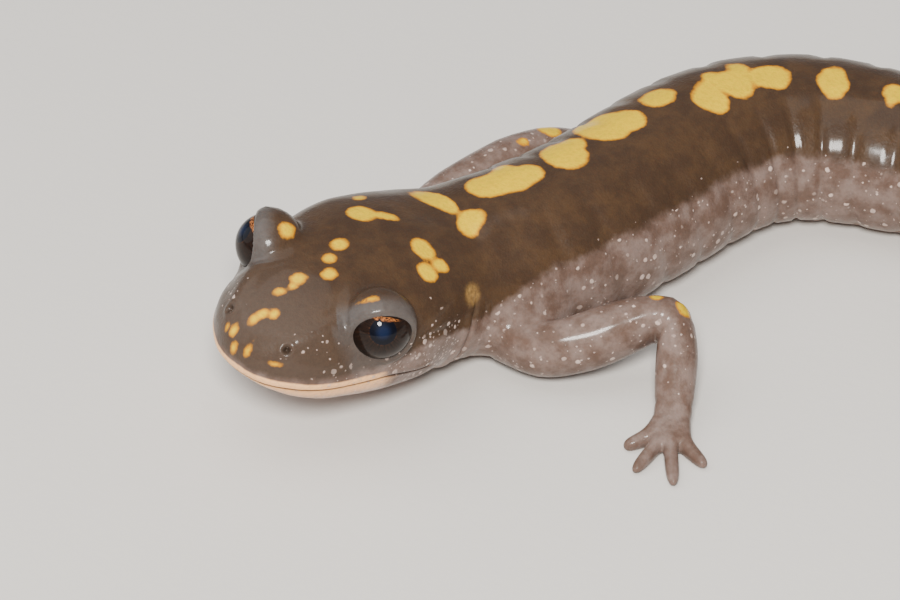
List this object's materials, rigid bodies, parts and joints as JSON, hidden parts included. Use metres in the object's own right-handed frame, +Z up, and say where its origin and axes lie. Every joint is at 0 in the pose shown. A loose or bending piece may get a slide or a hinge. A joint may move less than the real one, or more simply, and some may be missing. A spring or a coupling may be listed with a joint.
{
  "type": "long-toed salamander",
  "caption": "Life-size still model of a long-toed salamander resting on its belly, with head raised, body curved and long tail laid on the ground.",
  "frame": {"origin": "on the ground, under the middle of the animal's bounding box", "axes": "+Z up, +Y along the animal's longest extent towards the tail, so the snout points to -Y, and +X towards the animal's left side"},
  "size_m": [0.069, 0.0992, 0.0119],
  "materials": {
    "skin": "moist, smooth dark brown skin with yellow blotches along the back and pale flecks on the sides",
    "throat_skin": "moist, pale pinkish skin",
    "eye": "clear polished cornea over a dark brown iris and a round blue-black pupil"
  },
  "bodies": {
    "root": {"head": "skin", "lower_jaw": "throat_skin", "neck": "skin", "trunk_front": "skin", "trunk_rear": "skin", "tail_base": "skin", "tail_middle": "skin", "tail_tip": "skin", "upper_arm_front_left": "skin", "forearm_front_left": "skin", "hand_front_left": "skin", "upper_arm_front_right": "skin", "forearm_front_right": "skin", "hand_front_right": "skin", "thigh_hind_left": "skin", "shank_hind_left": "skin", "foot_hind_left": "skin", "thigh_hind_right": "skin", "shank_hind_right": "skin", "foot_hind_right": "skin", "eye_left": "eye", "eye_right": "eye"}
  },
  "joints": []
}
